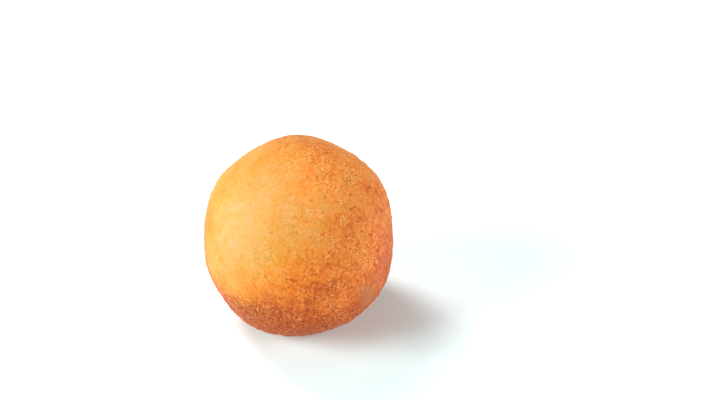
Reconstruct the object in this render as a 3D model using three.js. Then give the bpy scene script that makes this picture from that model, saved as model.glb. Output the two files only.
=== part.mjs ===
// A doughnut hole: one small ball of dough, fried until golden, with no glaze and no filling that shows.
// It is a single solid. Dough that leans on its neighbours while it proves, and then floats in hot fat, never
// stays a true ball, so the surface is worked out in three steps: broad flats, soft lumps, and the crust's dents.
// Millimetres, +Z up, +Y to the back. The origin is the middle of the flat spot that the ball rests on.

import * as THREE from 'three';
import { mergeVertices } from 'three/addons/utils/BufferGeometryUtils.js';

// The ball
const ROUND_RADIUS = 18.6; // where no flat reaches
const REST_HEIGHT = 17.3; // from the flat spot up to the middle of the ball
const EDGE_SHARPNESS = 15; // a higher number gives a harder edge between a flat and the round
const FACET_ROWS = 21; // how often each edge of the icosahedron that the surface starts from is divided

// The broad flats. Azimuth turns from +X towards +Y, elevation rises from the horizon, both in degrees, and
// depth is from the middle of the ball to the flat.
const FLATS = [
  { azimuth: 1, elevation: 3, depth: 18.15 }, // right
  { azimuth: 47, elevation: 45, depth: 19.15 }, // upper right, to the back
  { azimuth: 137, elevation: 43, depth: 17.95 }, // upper left, to the back
  { azimuth: 160, elevation: 25, depth: 19.6 }, // left, to the back
  { azimuth: 179, elevation: 3, depth: 17.2 }, // left
  { azimuth: 200, elevation: -25, depth: 18.25 }, // lower left
  { azimuth: 290, elevation: -50, depth: 19.9 }, // under the front
  { azimuth: 90, elevation: -12, depth: 18.6 }, // back
  { azimuth: 255, elevation: 62, depth: 19.6 }, // upper front
  { azimuth: 325, elevation: 12, depth: 19.4 }, // right front
  { azimuth: 0, elevation: -90, depth: 18.4 }, // underside
];

// The unevenness, at two scales. Each scale is a number of soft spots spread over the whole ball, and each
// spot has its own width and its own height, where a height below zero is a hollow.
const LUMPS = { count: 52, seed: 267, width: [3.6, 6.2], height: [-0.24, 0.24] };
const DENTS = { count: 420, seed: 311, width: [1.0, 2.0], height: [-0.08, 0.06] };
const SPOT_REACH = 3; // in widths, past which a spot has faded out
const SPOT_NUDGE = 0.6; // the most that a spot strays from its even place, in gaps between spots

// Seeds of a sunflower stand this far apart in turn, and so do the spots.
const GOLDEN_TURN = Math.PI * (3 - Math.sqrt(5));

// A Lehmer generator, so that each seed gives the same draws on every run
const LEHMER_FACTOR = 48271;
const LEHMER_SIZE = 2 ** 31 - 1;

function seededDraws(seed) {
  let state = seed;
  return () => {
    state = (state * LEHMER_FACTOR) % LEHMER_SIZE;
    return state / LEHMER_SIZE;
  };
}

function directionTo({ azimuth, elevation }) {
  const turn = THREE.MathUtils.degToRad(azimuth);
  const rise = THREE.MathUtils.degToRad(elevation);
  const out = Math.cos(rise);
  return new THREE.Vector3(out * Math.cos(turn), out * Math.sin(turn), Math.sin(rise));
}

// Spots spread evenly by the golden turn, and each then nudged so that no spiral shows.
function spreadSpots({ count, seed, width, height }) {
  const draw = seededDraws(seed);
  const drawBetween = ([low, high]) => low + (high - low) * draw();
  const nudge = SPOT_NUDGE / Math.sqrt(count);
  const spots = [];
  for (let i = 0; i < count; i += 1) {
    const z = 1 - (2 * i + 1) / count;
    const ring = Math.sqrt(1 - z * z);
    const turn = i * GOLDEN_TURN;
    const toward = new THREE.Vector3(ring * Math.cos(turn), ring * Math.sin(turn), z);
    toward.x += drawBetween([-nudge, nudge]);
    toward.y += drawBetween([-nudge, nudge]);
    toward.z += drawBetween([-nudge, nudge]);
    toward.normalize();
    spots.push({ toward, width: drawBetween(width) / ROUND_RADIUS, height: drawBetween(height) });
  }
  return spots;
}

// Each spot rises and falls as a bell curve does.
function heightOfSpots(spots, direction) {
  let total = 0;
  for (const { toward, width, height } of spots) {
    const apart = toward.distanceTo(direction) / width;
    if (apart < SPOT_REACH) {
      total += height * Math.exp(-apart * apart);
    }
  }
  return total;
}

// From the middle of the ball to its surface, before the unevenness. The round and the flats join as a power
// sum of how near each one is, which softens every edge between them.
const flats = FLATS.map((flat) => ({ toward: directionTo(flat), depth: flat.depth }));

function radiusOfForm(direction) {
  let nearness = ROUND_RADIUS ** -EDGE_SHARPNESS;
  for (const { toward, depth } of flats) {
    const facing = Math.max(0, toward.dot(direction));
    nearness += (facing / depth) ** EDGE_SHARPNESS;
  }
  return nearness ** (-1 / EDGE_SHARPNESS);
}

function makeCrustSurface() {
  const start = new THREE.IcosahedronGeometry(1, FACET_ROWS);
  start.deleteAttribute('normal');
  start.deleteAttribute('uv');
  const surface = mergeVertices(start);
  const lumps = spreadSpots(LUMPS);
  const dents = spreadSpots(DENTS);
  const points = surface.getAttribute('position');
  const direction = new THREE.Vector3();
  for (let i = 0; i < points.count; i += 1) {
    direction.fromBufferAttribute(points, i).normalize();
    const unevenness = heightOfSpots(lumps, direction) + heightOfSpots(dents, direction);
    const radius = radiusOfForm(direction) + unevenness;
    // What would sink below the table is pressed flat on it, which leaves the flat spot.
    const z = Math.max(0, REST_HEIGHT + radius * direction.z);
    points.setXYZ(i, radius * direction.x, radius * direction.y, z);
  }
  surface.computeVertexNormals();
  return surface;
}

// Fried crust, golden brown and dry, with a trace of fat left on it
function makeFriedCrust() {
  return new THREE.MeshStandardMaterial({
    name: 'fried_crust',
    color: new THREE.Color(0.87, 0.37, 0.1),
    roughness: 0.6,
    metalness: 0,
  });
}

const ball = new THREE.Mesh(makeCrustSurface(), makeFriedCrust());
ball.name = 'doughnut_hole';

const doughnutHole = new THREE.Group();
doughnutHole.add(ball);

export default doughnutHole;
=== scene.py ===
import math

import bmesh
import bpy
import numpy as np
from mathutils import Euler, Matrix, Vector, noise
from mathutils.bvhtree import BVHTree


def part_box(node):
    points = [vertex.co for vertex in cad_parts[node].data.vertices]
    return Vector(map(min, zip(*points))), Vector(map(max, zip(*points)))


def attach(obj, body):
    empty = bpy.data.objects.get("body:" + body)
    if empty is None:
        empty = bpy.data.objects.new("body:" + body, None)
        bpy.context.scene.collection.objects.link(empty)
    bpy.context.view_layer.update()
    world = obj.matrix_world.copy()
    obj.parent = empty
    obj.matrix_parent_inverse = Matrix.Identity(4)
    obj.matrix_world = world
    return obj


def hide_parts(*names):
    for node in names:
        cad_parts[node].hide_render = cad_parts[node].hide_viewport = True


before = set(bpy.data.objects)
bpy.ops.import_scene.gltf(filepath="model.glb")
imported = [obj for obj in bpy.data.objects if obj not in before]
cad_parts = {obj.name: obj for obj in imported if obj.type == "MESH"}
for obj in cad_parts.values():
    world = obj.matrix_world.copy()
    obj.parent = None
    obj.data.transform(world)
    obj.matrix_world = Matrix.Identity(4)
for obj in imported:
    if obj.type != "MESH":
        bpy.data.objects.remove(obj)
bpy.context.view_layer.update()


# The crust
# The whole ball is one piece of dough, and what shows of it is its crust: the outer millimetre, fried dry.
# It keeps the form of the solid, and gets the grain that tiny steam bubbles raise in hot fat, a few larger
# blisters, and the pits where bubbles broke.

MM = 0.001
CRUST_ROWS = 128  # squares along each edge of the cube that the crust's mesh is blown up from
SMOOTHING_PASSES = 110  # which melt the solid's flat facets into one surface
NOISE_STEPS = (17.3, 5.9, 11.1)  # how far each seed's noise stands from the next one's, in waves
CELL_STEPS = (13.7, 3.1, 7.7)  # and how far each seed's cells do, in cells
DRAW_STEP = 3.7  # which moves neighbouring cells apart, so that their draws differ

low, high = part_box("doughnut_hole")
middle = (low + high) / 2


def blown_up_cube(rows):
    """A cube of rows x rows squares a side, blown up into a ball of radius 1: its bmesh, and the direction
    of each of its corners."""
    shell = bmesh.new()
    bmesh.ops.create_cube(shell, size=2)
    bmesh.ops.subdivide_edges(shell, edges=shell.edges, cuts=rows - 1, use_grid_fill=True)
    corners = np.array([corner.co for corner in shell.verts])
    # The tangent spreads the squares so that they all come out about the same size on the ball.
    directions = np.tan(corners * math.pi / 4)
    directions /= np.linalg.norm(directions, axis=1, keepdims=True)
    return shell, directions


def smoothed(values, edges, passes):
    """Each value moves half the way to the mean of its neighbours, passes times."""
    starts, ends = edges.T
    count = len(values)
    neighbours = np.bincount(edges.ravel(), minlength=count)
    for _ in range(passes):
        around = np.bincount(starts, values[ends], count) + np.bincount(ends, values[starts], count)
        values = (values + around / neighbours) / 2
    return values


def noise_over(places, size, seed):
    """Soft noise from -1 to 1 whose waves are about size long, in millimetres."""
    shift = Vector([seed * step for step in NOISE_STEPS])
    return np.array([noise.noise(Vector(place) / size + shift) for place in places])


def cells_over(places, size, seed):
    """The distance to the nearest of many scattered points about size apart, as a share of size, and a draw
    from 0 to 1 that belongs to that point."""
    shift = Vector([seed * step for step in CELL_STEPS])
    nearest = [noise.voronoi(Vector(place) / size + shift) for place in places]
    apart = np.array([found[0][0] for found in nearest])
    draws = np.array([noise.cell(found[1][0] * DRAW_STEP) / 2 + 0.5 for found in nearest])
    return apart, draws


def toward(azimuth, elevation):
    """A direction from degrees: azimuth turns from +X towards +Y, elevation rises from the horizon."""
    turn, rise = math.radians(azimuth), math.radians(elevation)
    return np.array([math.cos(rise) * math.cos(turn), math.cos(rise) * math.sin(turn), math.sin(rise)])


def degrees_from(azimuth, elevation):
    """How far each corner of the crust lies from a direction, in degrees round the ball."""
    return np.degrees(np.arccos(np.clip(directions @ toward(azimuth, elevation), -1, 1)))


def eased(values, low_end, high_end):
    """0 up to the low end, 1 from the high end on, and a smooth rise between."""
    share = np.clip((values - low_end) / (high_end - low_end), 0, 1)
    return share * share * (3 - 2 * share)


def bells(spots):
    """Bell curves over the crust, added up. A spot is an azimuth, an elevation and a reach, in degrees, and
    how high the curve stands in its middle."""
    total = np.zeros(len(directions))
    for azimuth, elevation, reach, amount in spots:
        total += amount * np.exp(-((degrees_from(azimuth, elevation) / reach) ** 2))
    return total


def domes(apart, radius):
    """1 over the point in each cell, falling as a dome does to 0 at the radius, in cells."""
    return np.clip(1 - (apart / radius) ** 2, 0, 1)


shell, directions = blown_up_cube(CRUST_ROWS)
edges = np.array([[end.index for end in edge.verts] for edge in shell.edges])
downward = -directions[:, 2]  # from -1 at the top of the ball to 1 at its bottom

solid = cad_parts["doughnut_hole"].data
solid_tree = BVHTree.FromPolygons(
    [corner.co for corner in solid.vertices],
    [face.vertices for face in solid.polygons],
)
radii = np.array([solid_tree.ray_cast(middle, Vector(direction))[3] for direction in directions])
radii = smoothed(radii, edges, SMOOTHING_PASSES)
places = directions * radii[:, None] / MM

# Where the dough swelled last, the crust is smooth. Azimuth, elevation and reach, in degrees.
SMOOTH_CAPS = [(-140, 40, 52), (62, 14, 40), (168, -38, 26)]
CAP_ROUGHNESS = 0.22  # in the middle of a cap, where 1 is as rough as crust gets
CAP_RISE = 0.33  # by which that grows out to the cap's reach
CAP_EDGE_RISE = 0.45  # and by which it grows across the cap's edge
CAP_EDGE = (0.70, 1.30)  # from where to where, in reaches

# The caps' edges wander by some degrees, in long waves and in short ones.
cap_wander = 12 * noise_over(places, size=7.0, seed=1) + 8 * noise_over(places, size=3.0, seed=2)
roughened = np.ones(len(places))
for azimuth, elevation, reach in SMOOTH_CAPS:
    share = (degrees_from(azimuth, elevation) + cap_wander) / reach
    cap = CAP_ROUGHNESS + CAP_RISE * np.clip(share, 0, 1) + CAP_EDGE_RISE * eased(share, *CAP_EDGE)
    roughened = np.minimum(roughened, cap)

# How brown the crust is, before its flecks. It is browner below, where it lay in the fat, and uneven all
# over. Some patches are partly painted light: the broad paler one on the upper left front partly stands in
# for light from the left, and the browner ones on top, along the upper left edge and along the right edge
# are partly painted shade. Azimuth, elevation and reach in degrees, and how much browner, where less than 0
# is paler.
BROWNER_AND_PAINTED_LIGHT = [
    # Paler on the upper left front: partly paler crust, partly painted light from the left.
    (-135, 32, 48, -0.50),
    (-84, 2, 27, 0.24),
    (-54, 38, 16, 0.10),
    (-132, 43, 14, -0.07),
    # Browner on top: partly painted shade, which offsets the lamps behind.
    (75, 80, 26, 0.14),
    # Browner along the upper left edge: partly painted shade.
    (180, 40, 23, 0.14),
    (-100, -23, 26, 0.22),
    (-45, -8, 23, 0.13),
    (-80, 15, 15, 0.20),
    (62, 14, 36, -0.08),
    (118, -20, 26, 0.18),
    (168, -38, 26, -0.15),
    (-119, -24, 18, 0.37),
    # Browner along the left edge and the upper left edge, in these two patches: partly painted shade.
    (-164, 18, 17, 0.42),
    (-168, 42, 10, 0.10),
    (-71, -10, 12, -0.26),
    # Browner at the right edge: partly painted shade, which offsets the right lamp.
    (-24, -6, 15, 0.26),
    (-50, -20, 11, 0.12),
    (0, 30, 28, 0.18),
    # Browner at the right edge: partly painted shade, which offsets the right lamp.
    (-17, 10, 15, 0.24),
    (-95, 63, 9, 0.12),
    (-134, 64, 8, 0.10),
]
BROWN_ABOVE = 0.55  # where 1 is about as brown as the crust gets
BROWNER_BELOW = 0.52  # which the underside adds
BROWNER_FROM = -0.25  # on the way down, as downward counts it
BROWNEST_FROM = 0.65

browning = BROWN_ABOVE + BROWNER_BELOW * eased(downward, BROWNER_FROM, BROWNEST_FROM) + bells(BROWNER_AND_PAINTED_LIGHT)
browning += 0.14 * noise_over(places, size=6.0, seed=3) + 0.12 * noise_over(places, size=2.8, seed=4)

# Soft spots, where the ball leaned on something while it was warm: smooth, dull and pale. Azimuth,
# elevation and reach, in degrees.
SOFT_SPOTS = [(-44, -13, 6.5), (-41, -20, 6), (128, -8, 8), (22, -24, 7), (26, -17, 5)]
SPOT_INNER_EDGE = 6  # how far inside its reach a spot starts to fade, in degrees
SPOT_OUTER_EDGE = 5  # and how far outside it has faded out
SMOOTHED_BY_SPOTS = 0.6  # the share of the roughness that a spot takes away

softened = np.zeros(len(places))
spot_wander = 5 * noise_over(places, size=1.6, seed=10)  # degrees
for azimuth, elevation, reach in SOFT_SPOTS:
    apart = degrees_from(azimuth, elevation) + spot_wander
    softened = np.maximum(softened, 1 - eased(apart, reach - SPOT_INNER_EDGE, reach + SPOT_OUTER_EDGE))
roughened *= 1 - SMOOTHED_BY_SPOTS * softened

# In two patches, at the right edge and low at the back on the left, the crust is a little pinker: partly a
# frosted look, partly painted sheen at the right edge. Where fat soaked in it is yellower, and in some
# patches it is less red, which on the lower left and the left side is partly painted shade. Azimuth,
# elevation and reach in degrees, and how much.
DUST_AND_SHEEN = [(-18, 2, 30, 1.0), (150, -20, 28, 1.0)]
SOAKED = [(-104, 24, 17, 1.0), (-85, 8, 10, 1.0), (70, 10, 26, 1.0), (175, -30, 16, 1.0)]
# Less red: on the lower left and the left side this is partly painted shade, where the left lamp is
# strongest.
LESS_RED_AND_SHADE = [(-122, -20, 17, 1.0), (-166, 8, 12, 0.7), (104, 80, 17, 0.6), (40, -20, 18, 0.6)]

dried = bells(DUST_AND_SHEEN)
soaked = bells(SOAKED)
rubbed = bells(LESS_RED_AND_SHADE)

# Towards the underside, which lay in the hot fat, the crust has darker flecks: partly browner crust, and
# partly painted shade in the grain's pits, which are seen at a slant there.
FLECKS_AND_SHADE_FROM = 0.10  # on the way down, as downward counts it
FLECKS_AND_SHADE_MOST_FROM = 0.50

flecked = eased(downward, FLECKS_AND_SHADE_FROM, FLECKS_AND_SHADE_MOST_FROM)

# Granules, blisters and pits, one to a cell. Cells and heights are in millimetres, and radii in cells.
GRANULE_CELL = 1.05
GRANULE_RADIUS = 0.6
GRANULE_HEIGHT = 0.05
LOWEST_GRANULE = 0.3  # as a share of that
BLISTER_CELL = 3.2
BLISTER_RADIUS = 0.34
BLISTER_HEIGHT = 0.07
CELLS_WITHOUT_BLISTER = 0.45  # as a share of all cells
PIT_CELL = 1.8
PIT_RADIUS = 0.22
PIT_DEPTH = 0.05
PIT_DEPTH_IN_ROUGH = 0.12  # which rough crust adds
CELLS_WITHOUT_PIT = 0.3
GRAIN_HEIGHT = 0.14
RIPPLE_HEIGHT = 0.02
RIPPLE_HEIGHT_IN_ROUGH = 0.09  # which rough crust adds

granule_apart, granule_draw = cells_over(places, GRANULE_CELL, seed=5)
granule_share = LOWEST_GRANULE + (1 - LOWEST_GRANULE) * granule_draw
granules = domes(granule_apart, GRANULE_RADIUS) * granule_share
blister_apart, blister_draw = cells_over(places, BLISTER_CELL, seed=6)
blisters = domes(blister_apart, BLISTER_RADIUS) * (blister_draw > CELLS_WITHOUT_BLISTER)
pit_apart, pit_draw = cells_over(places, PIT_CELL, seed=7)
pits = np.clip(1 - pit_apart / PIT_RADIUS, 0, 1) * (pit_draw > CELLS_WITHOUT_PIT)
ripple = noise_over(places, size=1.9, seed=8)
grain = noise_over(places, size=0.8, seed=9)
relief = GRANULE_HEIGHT * granules + BLISTER_HEIGHT * blisters
relief += GRAIN_HEIGHT * grain + RIPPLE_HEIGHT_IN_ROUGH * ripple
relief *= roughened
relief += RIPPLE_HEIGHT * ripple - (PIT_DEPTH + PIT_DEPTH_IN_ROUGH * roughened) * pits

points = np.array(middle) + directions * (radii + relief * MM)[:, None]
points[:, 2] = np.maximum(points[:, 2], 0)  # the flat spot stays flat, as the ball rests on it

for corner, point in zip(shell.verts, points):
    corner.co = point
crust_mesh = bpy.data.meshes.new("crust")
shell.to_mesh(crust_mesh)
shell.free()
crust_mesh.shade_smooth()
painted = {
    "roughened": roughened,
    "browning": browning,
    "softened": softened,
    "dried": dried,
    "soaked": soaked,
    "flecked": flecked,
    "rubbed": rubbed,
    "pits": pits,
}
for name, values in painted.items():
    attribute = crust_mesh.attributes.new(name, "FLOAT", "POINT")
    attribute.data.foreach_set("value", values.astype(np.float32))

crust = bpy.data.objects.new("crust", crust_mesh)
bpy.context.scene.collection.objects.link(crust)


class Shade:
    """What a shader node gives out, so that the maths of a material reads as plain expressions."""

    nodes = None
    links = None

    def __init__(self, output):
        self.output = output

    @classmethod
    def paint_on(cls, material):
        """From here on, nodes are added to this material."""
        material.use_nodes = True
        cls.nodes = material.node_tree.nodes
        cls.links = material.node_tree.links
        cls.nodes.clear()

    @classmethod
    def node(cls, kind, settings=None, inputs=None, output=None):
        """A node of that kind. Settings are set first, then inputs, which are values or other Shades."""
        made = cls.nodes.new(kind)
        for name, value in (settings or {}).items():
            if name == "stops":
                cls.set_stops(made.color_ramp, value)
            else:
                setattr(made, name, value)
        sockets = {socket.identifier: socket for socket in made.inputs}
        for name, value in (inputs or {}).items():
            if isinstance(value, Shade):
                cls.links.new(value.output, sockets[name])
            else:
                sockets[name].default_value = value
        outputs = {socket.identifier: socket for socket in made.outputs}
        return cls(outputs[output] if output else next(iter(outputs.values()), None))

    @staticmethod
    def set_stops(ramp, stops):
        while len(ramp.elements) < len(stops):
            ramp.elements.new(1)
        for element, (position, colour) in zip(ramp.elements, stops):
            element.position = position
            element.color = (*colour, 1)

    def other(self, output):
        """Another output of the same node."""
        return Shade(next(socket for socket in self.output.node.outputs if socket.identifier == output))

    def maths(self, operation, other, clamp=False):
        settings = {"operation": operation, "use_clamp": clamp}
        return Shade.node("ShaderNodeMath", settings, {"Value": self, "Value_001": other})

    def __add__(self, other):
        return self.maths("ADD", other)

    __radd__ = __add__

    def __sub__(self, other):
        return self.maths("SUBTRACT", other)

    def __rsub__(self, other):
        return (self * -1) + other

    def __mul__(self, other):
        return self.maths("MULTIPLY", other)

    __rmul__ = __mul__

    def clamped(self):
        """The same, held between 0 and 1."""
        return self.maths("ADD", 0, clamp=True)

    def mixed(self, colour, share, blend):
        """This colour with a share of another laid over it."""
        settings = {"data_type": "RGBA", "blend_type": blend}
        inputs = {"Factor_Float": share, "A_Color": self, "B_Color": (*colour, 1)}
        return Shade.node("ShaderNodeMix", settings, inputs, "Result_Color")


# The crust's material. What is painted on the mesh steers it, and finer noise breaks it up.
fried = bpy.data.materials.new("fried_crust")
Shade.paint_on(fried)
place = Shade.node("ShaderNodeTexCoord", output="Object")


def vector_maths(operation, first, second):
    inputs = {"Vector": first, "Vector_001": second}
    return Shade.node("ShaderNodeVectorMath", {"operation": operation}, inputs, "Vector")


def shader_noise(size, detail, shift, roughness=0.5):
    """Noise from 0 to 1 whose waves are about size long, in millimetres."""
    moved = vector_maths("ADD", place, (shift,) * 3)
    inputs = {"Vector": moved, "Scale": 1 / (size * MM), "Detail": detail, "Roughness": roughness}
    return Shade.node("ShaderNodeTexNoise", {"noise_dimensions": "3D"}, inputs, "Fac")


def shader_cells(size, sway, bend, shift):
    """How far each place is from the point in its cell, in cells. The cells are about size across, and their
    walls stray by up to sway, in millimetres, as the colours of the noise called bend do."""
    swayed = vector_maths("MULTIPLY", bend.other("Color"), (sway * MM,) * 3)
    moved = vector_maths("ADD", vector_maths("ADD", place, (shift,) * 3), swayed)
    inputs = {"Vector": moved, "Scale": 1 / (size * MM)}
    return Shade.node("ShaderNodeTexVoronoi", {"voronoi_dimensions": "3D"}, inputs, "Distance")


def shader_granules(size, sway, shift):
    """Uneven granules about size across, in millimetres: 1 in the middle of each, below 0 in the gaps."""
    bend = shader_noise(size, detail=1.0, shift=shift)
    return 1 - 2 * shader_cells(size, sway, bend, shift)


def shader_pricks(size, reach, bare, shift):
    """Pinpricks in cells about size across, in millimetres: 1 in the middle of each, and 0 from reach on, in
    cells. The higher bare is, from 0 to 1, the more cells have none."""
    bend = shader_noise(0.3, detail=0.0, shift=shift)
    apart = shader_cells(size, sway=0.25, bend=bend, shift=shift)
    # Each cell draws a shade of its own, and a prick is whole where that lies a quarter or more above bare.
    pricked = (4.0 * (apart.other("Color") - bare)).clamped()
    return (2 - (2 / reach) * apart).clamped() * pricked


def from_mesh(name):
    """What is painted on the mesh under that name."""
    return Shade.node("ShaderNodeAttribute", {"attribute_name": name}, output="Fac")


# The colour of the crust from barely fried to brown, and the colours and tints that are laid over it
BROWNING_STOPS = [
    (0.00, (0.655, 0.308, 0.112)),
    (0.22, (0.685, 0.283, 0.070)),
    (0.44, (0.735, 0.238, 0.034)),
    (0.66, (0.710, 0.171, 0.018)),
    (0.88, (0.535, 0.100, 0.010)),
    (1.00, (0.460, 0.079, 0.008)),
]
STOPS_PER_BROWNING = 0.88  # so that a browning of about 1.14 reaches the last stop
STAIN_TINT = (0.94, 0.91, 0.58)
SOAKED_TINT = (1, 0.98, 0.66)
LESS_RED_AND_SHADE_TINT = (0.84, 1, 1)
TIP_AND_GLINT_COLOUR = (0.86, 0.41, 0.167)
GAP_AND_SHADE_TINT = (0.78, 0.45, 0.28)
PRICK_TINT = (0.80, 0.47, 0.28)
PIT_COLOUR = (0.39, 0.140, 0.028)
SOFT_SPOT_COLOUR = (0.39, 0.153, 0.056)
DUST_AND_SHEEN_COLOUR = (0.75, 0.20, 0.25)

rough = from_mesh("roughened")
patch = shader_noise(2.4, detail=1.0, shift=0.77)
fleck = shader_noise(0.9, detail=1.0, shift=0.23)
speck = shader_noise(0.42, detail=1.0, shift=0.31)
fine = shader_noise(0.22, detail=1.0, shift=0.13)
small = shader_granules(0.75, sway=0.8, shift=0.41)
crumb = shader_granules(0.46, sway=0.4, shift=0.67)
pricks = shader_pricks(0.8, reach=0.34, bare=0.92 - 0.45 * rough, shift=0.53)
calm = shader_noise(1.7, detail=0.0, shift=0.91)
stain = shader_noise(1.8, detail=3.0, shift=0.37, roughness=0.6)

# Patches and flecks of browner and paler crust, which show most where it is rough
patches = (0.26 + 0.38 * rough) * (patch - 0.5)
flecks = (0.18 + 0.80 * rough) * (fleck - 0.5)
browner_and_painted_light = from_mesh("browning") + patches + flecks
crust_colour = Shade.node(
    "ShaderNodeValToRGB",
    {"stops": BROWNING_STOPS},
    {"Fac": (browner_and_painted_light * STOPS_PER_BROWNING).clamped()},
)

# Stains that fat left, most of all where the crust is smooth
stained = (1 - 0.7 * rough) * (4.5 * (stain - 0.5) + 0.5).clamped()

# Pale specks on the grain, partly paler crumbs and partly painted glints, and dark specks between them,
# partly browner crust and partly painted shade. This shows most in rough crust, apart from calmer patches.
lively = rough * (0.5 + 3.3 * (calm - 0.32).clamped())
waves = 0.5 * (fleck - 0.5) + 1.0 * (speck - 0.5) + 0.8 * (fine - 0.5)
speckle_with_painted_light = lively * (waves + 0.12 * small + 0.5 * crumb)
tips_and_glints = speckle_with_painted_light.clamped() * (1.2 - 0.5 * browner_and_painted_light)
gaps_and_shade = (speckle_with_painted_light * (-1.2 - 3.6 * from_mesh("flecked"))).clamped()

# What is laid over the browned crust, in this order: a colour or tint, its share, and how it is laid on
layers = [
    (STAIN_TINT, stained, "MULTIPLY"),
    (SOAKED_TINT, from_mesh("soaked").clamped(), "MULTIPLY"),
    # Less red: partly painted shade on the lower left and the left side.
    (LESS_RED_AND_SHADE_TINT, from_mesh("rubbed").clamped(), "MULTIPLY"),
    # Pale specks: partly paler crumbs, partly painted glints.
    (TIP_AND_GLINT_COLOUR, tips_and_glints, "MIX"),
    # Dark specks: partly browner crust, partly painted shade.
    (GAP_AND_SHADE_TINT, gaps_and_shade, "MULTIPLY"),
    (PRICK_TINT, (0.4 + 0.5 * rough) * pricks, "MULTIPLY"),
    (PIT_COLOUR, 0.5 * from_mesh("pits"), "MIX"),
    (SOFT_SPOT_COLOUR, 0.6 * from_mesh("softened"), "MIX"),
    # Pinker patches: partly a frosted look, partly painted sheen at the right edge.
    (DUST_AND_SHEEN_COLOUR, 0.07 * from_mesh("dried"), "MIX"),
]
for colour, share, blend in layers:
    crust_colour = crust_colour.mixed(colour, share, blend)

# The finest grain, in millimetres, on top of what the mesh has
fine_grain = rough * (0.08 * fleck + 0.04 * speck + 0.02 * fine + 0.02 * small) - 0.05 * pricks
bump = Shade.node(
    "ShaderNodeBump",
    inputs={"Strength": 1.0, "Distance": MM, "Height": fine_grain},
    output="Normal",
)
finish = Shade.node(
    "ShaderNodeBsdfPrincipled",
    inputs={
        "Base Color": crust_colour,
        "Roughness": 0.6 + 0.15 * speck,
        "Specular IOR Level": 0.15,
        "Sheen Weight": 0.03,
        "Subsurface Weight": 0.12,
        "Subsurface Radius": (1.0, 0.45, 0.2),
        "Subsurface Scale": 0.8 * MM,
        "Normal": bump,
    },
)
Shade.node("ShaderNodeOutputMaterial", inputs={"Surface": finish})
crust_mesh.materials.append(fried)

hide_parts("doughnut_hole")
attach(crust, "root")


# The table
# A plain board that the ball lies on, painted matt white. It is so wide that no edge of it shows, and it
# belongs to the stage, not to the ball.

TABLE_SIZE = 6.0  # metres
MATT_WHITE = (0.90, 0.95, 0.95, 1)

half = TABLE_SIZE / 2
board_corners = [(-half, -half, 0), (half, -half, 0), (half, half, 0), (-half, half, 0)]
board_mesh = bpy.data.meshes.new("board")
board_mesh.from_pydata(board_corners, [], [(0, 1, 2, 3)])
board = bpy.data.objects.new("board", board_mesh)
bpy.context.scene.collection.objects.link(board)

matt_white = bpy.data.materials.new("matt_white")
Shade.paint_on(matt_white)
paint = Shade.node(
    "ShaderNodeBsdfPrincipled",
    inputs={"Base Color": MATT_WHITE, "Roughness": 0.9, "Specular IOR Level": 0.0},
)
Shade.node("ShaderNodeOutputMaterial", inputs={"Surface": paint})
board_mesh.materials.append(matt_white)


# The light
# A dark room with six softboxes. The strongest stands low on the left, and two weaker ones on the right fill
# the shadow that two smaller ones, behind the ball on the left, throw to the front. The last hangs overhead.

ROOM_COLOUR = (0.92, 0.98, 1, 1)
ROOM_BRIGHTNESS = 0.03
SOFTBOX_DISTANCE = 0.8  # metres, from the middle of the ball
# Each has a name, an azimuth and an elevation in degrees, a size in metres, its watts and its tint.
SOFTBOXES = [
    ("left", 201, 25, 0.4, 9.1, (0.80, 1, 1)),
    ("right", 0, 16, 0.4, 3.9, (0.91, 1, 1)),
    ("right_front", 315, 29, 0.4, 2.4, (0.97, 1, 1)),
    ("back", 140, 45, 0.2, 2.5, (0.94, 0.99, 1)),
    ("above_back", 133, 58, 0.25, 2.7, (0.94, 0.99, 1)),
    ("above", 0, 88, 0.4, 0.5, (1, 1, 1)),
]

room = bpy.data.worlds.new("dark_room")
room.use_nodes = True
walls = room.node_tree.nodes["Background"]
walls.inputs["Color"].default_value = ROOM_COLOUR
walls.inputs["Strength"].default_value = ROOM_BRIGHTNESS
bpy.context.scene.world = room


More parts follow.
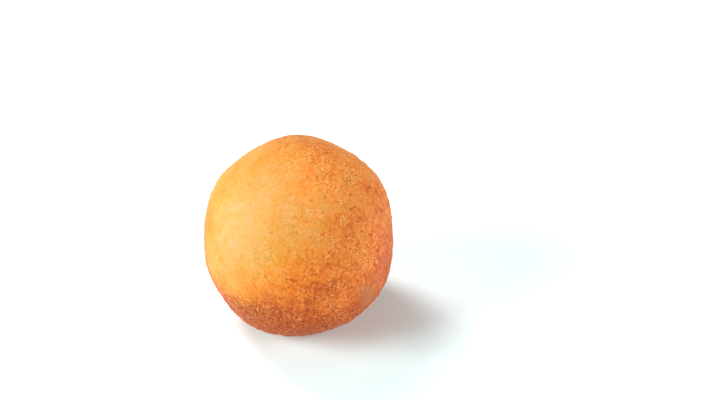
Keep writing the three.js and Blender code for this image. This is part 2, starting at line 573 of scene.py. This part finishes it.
def aim(thing, target):
    """Turn a camera or a lamp so that it looks at the target."""
    thing.rotation_mode = "QUATERNION"
    thing.rotation_quaternion = (target - thing.location).to_track_quat("-Z", "Y")


for name, azimuth, elevation, size, watts, tint in SOFTBOXES:
    lamp = bpy.data.lights.new(name, "AREA")
    lamp.shape = "SQUARE"
    lamp.size = size
    lamp.energy = watts
    lamp.color = tint
    softbox = bpy.data.objects.new(name, lamp)
    softbox.location = middle + Vector(toward(azimuth, elevation)) * SOFTBOX_DISTANCE
    aim(softbox, middle)
    bpy.context.scene.collection.objects.link(softbox)


# The camera
# A long lens looks down on the ball from the front. It is aimed at the ball's centre, and then turned a
# little, so that the ball comes to the left of the frame's middle and below it.

LENS = 108  # millimetres
SENSOR = 36  # millimetres across
FRAME_WIDTH = 720  # pixels
FRAME_HEIGHT = 400
CAMERA_AZIMUTH = -90  # degrees
CAMERA_ELEVATION = 36
BALL_IN_FRAME = (296.7, 235.0)  # pixels from the left and from the top, for the ball's centre
BALL_CENTRE = Vector((0, 0, 17.3)) * MM
PIXEL = 0.1831 * MM  # at the ball's centre
LENS_IN_PIXELS = FRAME_WIDTH * LENS / SENSOR
CAMERA_DISTANCE = PIXEL * LENS_IN_PIXELS

camera_data = bpy.data.cameras.new("camera")
camera_data.lens = LENS
camera_data.sensor_width = SENSOR
camera = bpy.data.objects.new("camera", camera_data)
camera.location = BALL_CENTRE + Vector(toward(CAMERA_AZIMUTH, CAMERA_ELEVATION)) * CAMERA_DISTANCE
aim(camera, BALL_CENTRE)
tilted_up = math.atan((BALL_IN_FRAME[1] - FRAME_HEIGHT / 2) / LENS_IN_PIXELS)
turned_left = math.atan((BALL_IN_FRAME[0] - FRAME_WIDTH / 2) / LENS_IN_PIXELS)
off_centre = Euler((tilted_up, turned_left, 0)).to_quaternion()
camera.rotation_quaternion = camera.rotation_quaternion @ off_centre
bpy.context.scene.collection.objects.link(camera)
bpy.context.scene.camera = camera
bpy.context.scene.view_settings.view_transform = "Standard"
